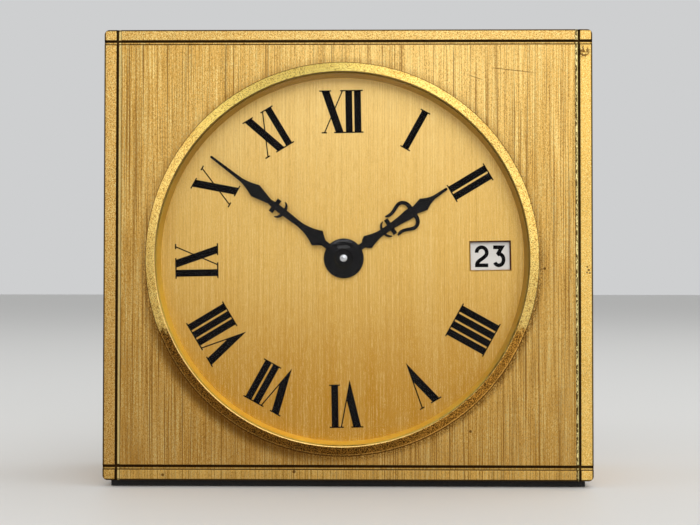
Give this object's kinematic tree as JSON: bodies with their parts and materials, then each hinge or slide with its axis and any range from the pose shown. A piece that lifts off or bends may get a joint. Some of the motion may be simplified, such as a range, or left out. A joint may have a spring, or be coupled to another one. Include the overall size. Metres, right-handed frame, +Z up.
{
  "type": "desk clock with calendar",
  "caption": "Square gilt-brass mechanical desk clock with a round bezel, roman dial, pierced black hands and a date window at three, wound by a folding key at the back.",
  "frame": {"origin": "centre of the underside of the felt pad, on the surface that the clock stands on", "axes": "+X to the viewer's right, +Y from the dial to the back, +Z up"},
  "size_m": [0.096, 0.0424, 0.0897],
  "materials": {
    "case_brass": "satin-brushed lacquered brass with age spots",
    "back_brass": "plain satin brass",
    "bezel_gold": "polished gilt brass, finely pitted",
    "crystal_glass": "clear flat glass",
    "gasket": "matt dark rubber",
    "dial_ring_gold": "satin gilt brass",
    "dial_gilt": "vertically brushed gilt",
    "numeral_paint": "gloss black ink",
    "hand_paint": "gloss black enamel",
    "date_enamel": "satin white enamel",
    "ruby": "polished ruby",
    "knob_brass": "polished brass",
    "spring_steel": "blued spring steel",
    "polished_steel": "polished steel",
    "movement_brass": "gilt brass",
    "felt": "black felt"
  },
  "bodies": {
    "case": {"front_plate": "case_brass", "case_body": "case_brass", "back_cover": "back_brass", "back_cover_screws": "polished_steel", "front_plate_screws": "polished_steel", "base_pad": "felt", "bezel": "bezel_gold", "crystal": "crystal_glass", "crystal_gasket": "gasket", "dial_ring": "dial_ring_gold", "dial": "dial_gilt", "hour_numerals": "numeral_paint", "calendar_plate": "movement_brass", "movement_clamps": "movement_brass", "date_jumper": "spring_steel", "dial_side_posts": "polished_steel", "main_plate": "movement_brass", "back_plate": "movement_brass", "plate_pillars": "movement_brass", "plate_screws": "polished_steel", "fitting_screws": "polished_steel", "jewels": "ruby", "click_spring": "spring_steel", "hairspring": "spring_steel", "balance_cock": "movement_brass"},
    "minute_work": {"centre_arbor": "polished_steel", "centre_wheel": "movement_brass", "cannon_pinion": "polished_steel", "minute_hand": "hand_paint", "hand_nut": "hand_paint", "setting_knob": "knob_brass"},
    "hour_work": {"hour_wheel": "movement_brass", "hour_hand": "hand_paint"},
    "minute_wheel_body": {"minute_wheel": "movement_brass"},
    "date_wheel_body": {"date_wheel": "movement_brass", "date_finger": "movement_brass"},
    "date_ring_body": {"date_ring": "date_enamel"},
    "intermediate_body": {"intermediate_wheel": "movement_brass", "intermediate_arbor": "polished_steel"},
    "barrel_drum": {"barrel": "movement_brass", "barrel_cover": "movement_brass", "mainspring": "spring_steel"},
    "winding_arbor": {"barrel_arbor": "polished_steel", "ratchet_wheel": "polished_steel", "winding_key": "knob_brass", "key_pin": "polished_steel"},
    "key_wing_body": {"key_wing": "knob_brass"},
    "click_body": {"click": "polished_steel"},
    "third_body": {"third_wheel": "movement_brass", "third_arbor": "polished_steel"},
    "fourth_body": {"fourth_wheel": "movement_brass", "fourth_arbor": "polished_steel"},
    "escape_body": {"escape_wheel": "movement_brass", "escape_arbor": "polished_steel"},
    "pallet_body": {"pallet_fork": "polished_steel", "pallet_arbor": "polished_steel", "pallet_stones": "ruby"},
    "balance_body": {"balance_wheel": "movement_brass", "balance_staff": "polished_steel"},
    "regulator_body": {"regulator_lever": "polished_steel"}
  },
  "joints": [
    {"name": "minute_hand_turn", "type": "hinge", "parent": "case", "child": "minute_work", "pos_m": [-0.0008, -0.001, 0.0447], "axis": [0, 1, 0], "continuous": true},
    {"name": "hour_hand_turn", "type": "hinge", "parent": "case", "child": "hour_work", "pos_m": [-0.0008, -0.001, 0.0447], "axis": [0, 1, 0], "continuous": true},
    {"name": "minute_wheel_turn", "type": "hinge", "parent": "case", "child": "minute_wheel_body", "pos_m": [0.00556, -0.001, 0.05106], "axis": [0, 1, 0], "continuous": true},
    {"name": "date_wheel_turn", "type": "hinge", "parent": "case", "child": "date_wheel_body", "pos_m": [-0.00542, -0.001, 0.03201], "axis": [0, 1, 0], "continuous": true},
    {"name": "intermediate_turn", "type": "hinge", "parent": "case", "child": "intermediate_body", "pos_m": [-0.00598, -0.001, 0.05579], "axis": [0, 1, 0], "continuous": true},
    {"name": "barrel_turn", "type": "hinge", "parent": "case", "child": "barrel_drum", "pos_m": [-0.0186, -0.001, 0.0447], "axis": [0, 1, 0], "continuous": true},
    {"name": "third_turn", "type": "hinge", "parent": "case", "child": "third_body", "pos_m": [0.00935, -0.001, 0.04101], "axis": [0, 1, 0], "continuous": true},
    {"name": "fourth_turn", "type": "hinge", "parent": "case", "child": "fourth_body", "pos_m": [0.0126, -0.001, 0.03206], "axis": [0, 1, 0], "continuous": true},
    {"name": "escape_turn", "type": "hinge", "parent": "case", "child": "escape_body", "pos_m": [0.0041, -0.001, 0.03056], "axis": [0, 1, 0], "continuous": true},
    {"name": "date_ring_turn", "type": "hinge", "parent": "case", "child": "date_ring_body", "pos_m": [-0.0008, -0.012, 0.0447], "axis": [0, 1, 0], "continuous": true},
    {"name": "winding_turn", "type": "hinge", "parent": "case", "child": "winding_arbor", "pos_m": [-0.0186, -0.001, 0.0447], "axis": [0, 1, 0], "range_deg": [0, 2160]},
    {"name": "key_wing_fold", "type": "hinge", "parent": "winding_arbor", "child": "key_wing_body", "pos_m": [-0.0186, 0.022, 0.0447], "axis": [1, 0, 0], "range_deg": [0, 180]},
    {"name": "click_lift", "type": "hinge", "parent": "case", "child": "click_body", "pos_m": [-0.01511, 0.0057, 0.05428], "axis": [0, 1, 0], "range_deg": [-8, 0]},
    {"name": "pallet_fork_swing", "type": "hinge", "parent": "case", "child": "pallet_body", "pos_m": [-0.00075, -0.001, 0.02776], "axis": [0, 1, 0], "range_deg": [-5, 5]},
    {"name": "balance_swing", "type": "hinge", "parent": "case", "child": "balance_body", "pos_m": [-0.00855, -0.001, 0.02326], "axis": [0, 1, 0], "range_deg": [-270, 270], "stiffness_Nm_per_rad": 0.0000036},
    {"name": "regulator_shift", "type": "hinge", "parent": "case", "child": "regulator_body", "pos_m": [-0.00855, 0.0103, 0.02326], "axis": [0, 1, 0], "range_deg": [-12, 12]}
  ],
  "couplings": [
    {"joint": "minute_wheel_turn", "follows": "minute_hand_turn", "ratio": -0.33333},
    {"joint": "hour_hand_turn", "follows": "minute_hand_turn", "ratio": 0.083333},
    {"joint": "date_wheel_turn", "follows": "minute_hand_turn", "ratio": -0.041667},
    {"joint": "intermediate_turn", "follows": "minute_hand_turn", "ratio": -0.2},
    {"joint": "barrel_turn", "follows": "minute_hand_turn", "ratio": 0.033333},
    {"joint": "third_turn", "follows": "minute_hand_turn", "ratio": -8},
    {"joint": "fourth_turn", "follows": "minute_hand_turn", "ratio": 60},
    {"joint": "escape_turn", "follows": "minute_hand_turn", "ratio": -480}
  ]
}
